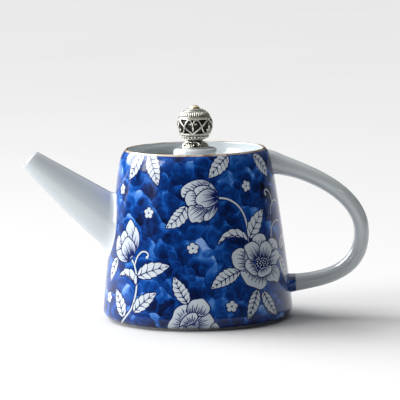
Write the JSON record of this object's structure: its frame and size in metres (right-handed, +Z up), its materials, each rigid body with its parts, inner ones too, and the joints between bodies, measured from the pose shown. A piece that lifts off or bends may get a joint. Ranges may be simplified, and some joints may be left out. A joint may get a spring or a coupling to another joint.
{
  "type": "porcelain teapot",
  "caption": "Tapered blue-and-white porcelain teapot with a straight spout, a loop handle, an inset lid that lifts off and a pierced silver ball knob.",
  "frame": {"origin": "on the floor at the centre of the foot ring, which is the centre of the bounding box's bottom", "axes": "+Z up along the pot's axis; -X along the spout and +X along the handle; -Y faces the viewer with the spout on the left"},
  "size_m": [0.2071, 0.114, 0.1281],
  "materials": {
    "cobalt_porcelain": "glossy clear glaze over brushed cobalt blue with white peonies; white inside",
    "white_porcelain": "glossy white glaze",
    "silver": "polished antique silver with dark recesses",
    "steel": "plain bright steel",
    "silicone": "translucent matt silicone"
  },
  "bodies": {
    "pot": {"pot_body": "cobalt_porcelain", "spout": "white_porcelain", "strainer": "white_porcelain", "handle": "white_porcelain"},
    "lid": {"lid": "white_porcelain", "knob_washer": "steel", "knob_seal": "silicone"},
    "knob": {"knob_collar": "silver", "knob_ball": "silver", "knob_finial": "silver", "knob_screw": "steel"}
  },
  "joints": [
    {"name": "lid_lift", "type": "slide", "parent": "pot", "child": "lid", "axis": [0, 0, 1], "range_m": [0, 0.06]},
    {"name": "knob_turn", "type": "hinge", "parent": "lid", "child": "knob", "pos_m": [0, 0, 0.118], "axis": [0, 0, 1], "continuous": true}
  ]
}
